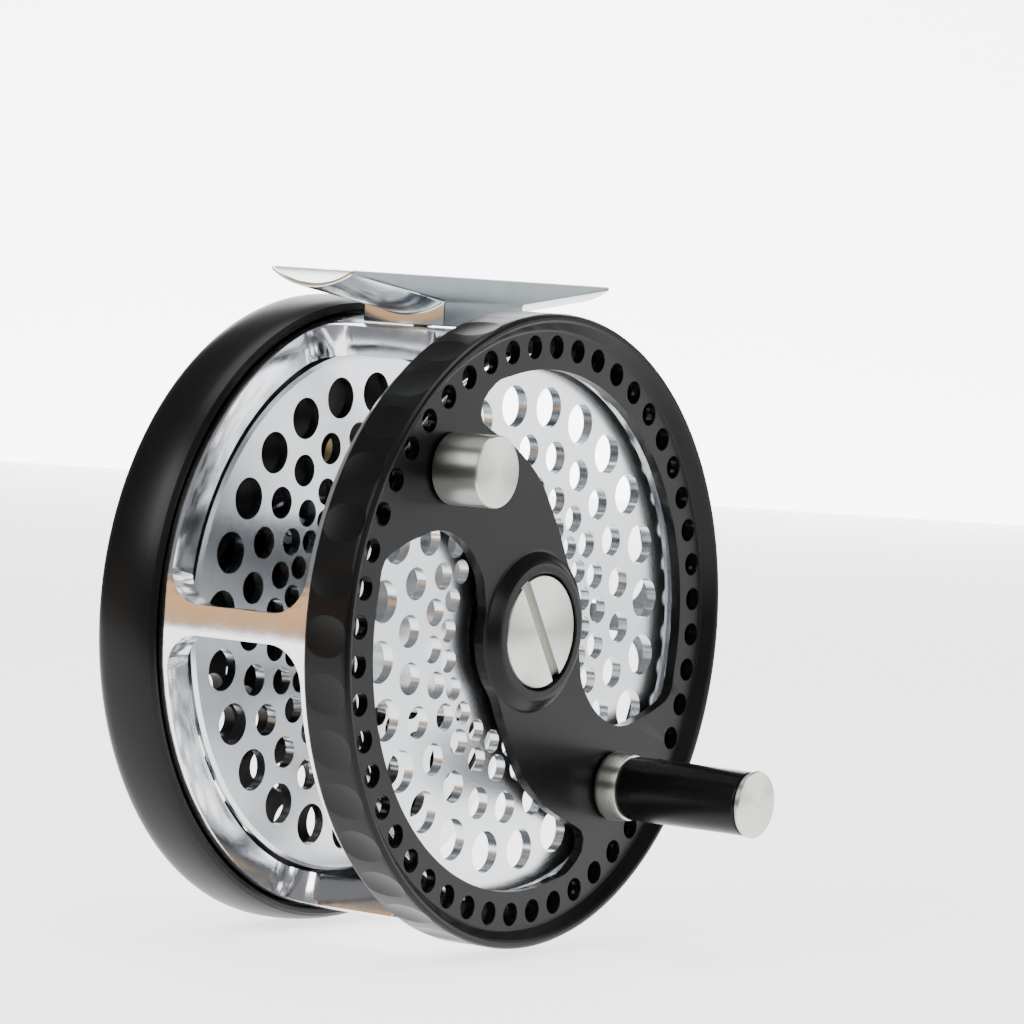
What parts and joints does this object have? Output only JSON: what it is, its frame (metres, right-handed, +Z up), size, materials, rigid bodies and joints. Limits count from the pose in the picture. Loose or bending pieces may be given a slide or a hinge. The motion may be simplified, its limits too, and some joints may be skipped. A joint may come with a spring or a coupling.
{
  "type": "fly reel",
  "caption": "Direct-drive fly reel: a ported spool with handle and counterweight turns in a caged frame that has a rod foot, a drag knob and a click selector.",
  "frame": {"origin": "middle of the foot's channel floor, where the foot seats against the rod's reel seat", "axes": "+Z up out of the channel to the rod, spool axis along Y with the handle side at -Y and the drag knob at +Y, foot lengthwise along X"},
  "size_m": [0.0948, 0.0755, 0.0985],
  "materials": {
    "black_anodised": "black anodised over fine turning, satin",
    "black_grip": "black anodised, smooth satin",
    "polished_aluminium": "clear anodised over polish",
    "satin_aluminium": "clear anodised, satin",
    "spool_aluminium": "clear anodised over fine turning",
    "knurled_knob": "diamond knurled side, brushed face",
    "turned_steel": "turned stainless steel, fine rings",
    "stainless_steel": "machined stainless steel",
    "spring_steel": "blued spring steel",
    "brass": "machined brass",
    "copper": "copper rivet",
    "cork": "pressed cork"
  },
  "bodies": {
    "root": {"reel_foot": "satin_aluminium", "foot_screw_left": "stainless_steel", "foot_screw_right": "stainless_steel", "frame_cage": "polished_aluminium", "back_plate": "black_anodised", "back_plate_screw_top": "stainless_steel", "back_plate_screw_right": "stainless_steel", "back_plate_screw_bottom": "stainless_steel", "back_plate_screw_left": "stainless_steel", "spindle": "stainless_steel", "spool_screw": "turned_steel", "front_bearing_inner_ring": "stainless_steel", "rear_bearing_inner_ring": "stainless_steel", "pawl_post_left": "stainless_steel", "spring_rivet_left": "copper", "click_spring_left": "spring_steel", "pawl_post_right": "stainless_steel", "spring_rivet_right": "copper", "click_spring_right": "spring_steel", "selector_stop_pin": "stainless_steel"},
    "spool": {"spool_arbor": "spool_aluminium", "front_flange": "spool_aluminium", "rear_flange": "spool_aluminium", "face_plate": "black_anodised", "counterweight": "turned_steel", "counterweight_screw": "stainless_steel", "handle_post": "stainless_steel", "handle_collar": "turned_steel", "click_gear": "brass", "one_way_clutch": "stainless_steel", "bearing_spacer": "spool_aluminium", "front_bearing_outer_ring": "stainless_steel", "front_bearing_ball_cage": "brass", "rear_bearing_outer_ring": "stainless_steel", "rear_bearing_ball_cage": "brass"},
    "handle_grip": {"handle_grip": "black_grip", "handle_end_cap": "turned_steel"},
    "drag_knob": {"drag_knob": "knurled_knob"},
    "drag_pressure": {"drag_pressure_plate": "brass", "drag_disc": "cork"},
    "click_selector": {"selector_button": "polished_aluminium", "selector_cam": "brass"},
    "click_pawl_left": {"click_pawl_left": "spring_steel"},
    "click_pawl_right": {"click_pawl_right": "spring_steel"}
  },
  "joints": [
    {"name": "spool_spin", "type": "hinge", "parent": "root", "child": "spool", "pos_m": [0, 0, -0.0489], "axis": [0, 1, 0], "continuous": true},
    {"name": "handle_grip_spin", "type": "hinge", "parent": "spool", "child": "handle_grip", "pos_m": [0.0227, 0, -0.0727], "axis": [0, 1, 0], "continuous": true},
    {"name": "drag_knob_turn", "type": "hinge", "parent": "root", "child": "drag_knob", "pos_m": [0, 0, -0.0489], "axis": [0, -1, 0], "range_deg": [0, 300]},
    {"name": "drag_pressure_slide", "type": "slide", "parent": "root", "child": "drag_pressure", "axis": [0, -1, 0], "range_m": [0, 0.0005]},
    {"name": "click_selector_turn", "type": "hinge", "parent": "root", "child": "click_selector", "pos_m": [0, 0, -0.0245], "axis": [0, -1, 0], "range_deg": [0, 180]},
    {"name": "click_pawl_left_rock", "type": "hinge", "parent": "root", "child": "click_pawl_left", "pos_m": [-0.0148, 0, -0.0365], "axis": [0, 1, 0], "range_deg": [0, 10]},
    {"name": "click_pawl_right_rock", "type": "hinge", "parent": "root", "child": "click_pawl_right", "pos_m": [0.0148, 0, -0.0365], "axis": [0, -1, 0], "range_deg": [0, 10]}
  ],
  "couplings": [
    {"joint": "drag_pressure_slide", "follows": "drag_knob_turn", "m_per_rad": 0.00009549},
    {"joint": "click_pawl_left_rock", "follows": "click_selector_turn", "ratio": 0.05555},
    {"joint": "click_pawl_right_rock", "follows": "click_selector_turn", "ratio": 0.05555}
  ]
}
